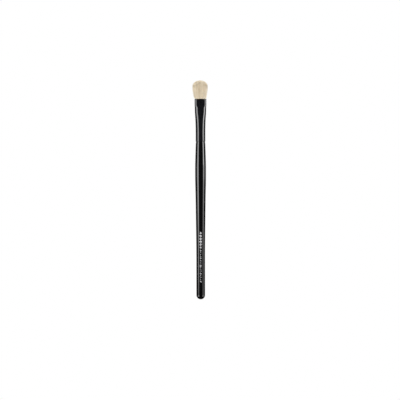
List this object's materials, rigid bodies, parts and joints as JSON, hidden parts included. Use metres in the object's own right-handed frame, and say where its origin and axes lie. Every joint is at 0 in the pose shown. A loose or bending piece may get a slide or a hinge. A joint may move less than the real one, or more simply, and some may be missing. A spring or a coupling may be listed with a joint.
{
  "type": "eyeshadow brush",
  "caption": "Flat rounded eyeshadow brush: a turned lacquered handle, a thin metal ferrule pressed flat at its mouth and a soft domed hair head.",
  "frame": {"origin": "tip of the handle's domed tail, on the brush's long axis", "axes": "+Z runs from the tail up through the ferrule to the tip of the hair; X is across the broad face of the flat head; Y is through its thickness, and the broad face looks along -Y"},
  "size_m": [0.0122, 0.0088, 0.1753],
  "materials": {
    "handle_lacquer": "birch under black gloss lacquer",
    "ferrule_lacquer": "drawn tube under black gloss lacquer",
    "cream_hair": "soft undyed cream hair",
    "cured_resin": "cured amber resin with the hair roots in it",
    "binding_thread": "plain cotton thread",
    "cured_glue": "cured glue"
  },
  "bodies": {
    "root": {"handle": "handle_lacquer", "tenon_glue": "cured_glue", "ferrule": "ferrule_lacquer", "root_plug": "cured_resin", "root_tie": "binding_thread", "hair_tuft": "cream_hair"}
  },
  "joints": []
}
